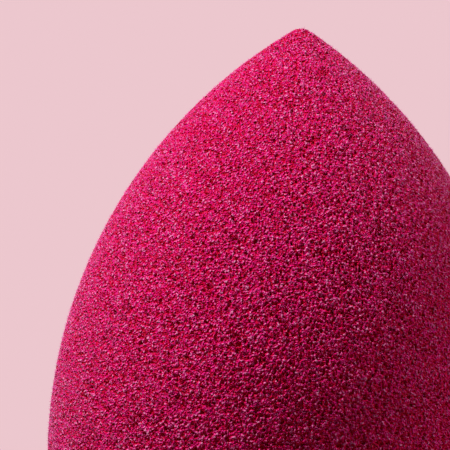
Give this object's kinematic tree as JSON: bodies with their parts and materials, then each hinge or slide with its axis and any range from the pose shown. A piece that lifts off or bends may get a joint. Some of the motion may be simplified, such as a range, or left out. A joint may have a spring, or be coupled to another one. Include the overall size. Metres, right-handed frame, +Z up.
{
  "type": "makeup sponge",
  "caption": "Teardrop makeup sponge with a pointed tip and a round base, a soft foam core under a short velvet coat, for blending makeup on the face.",
  "frame": {"origin": "centre of the small flat that the sponge stands on", "axes": "+Z up along the sponge's axis, from the flat to the tip; the sponge is round, so X and Y are free"},
  "size_m": [0.042, 0.042, 0.06],
  "materials": {
    "foam": "matte",
    "adhesive_film": "satin",
    "velvet_pile": "matte"
  },
  "bodies": {
    "root": {"foam_core": "foam", "bond_coat": "adhesive_film", "flock_coat": "velvet_pile"}
  },
  "joints": []
}
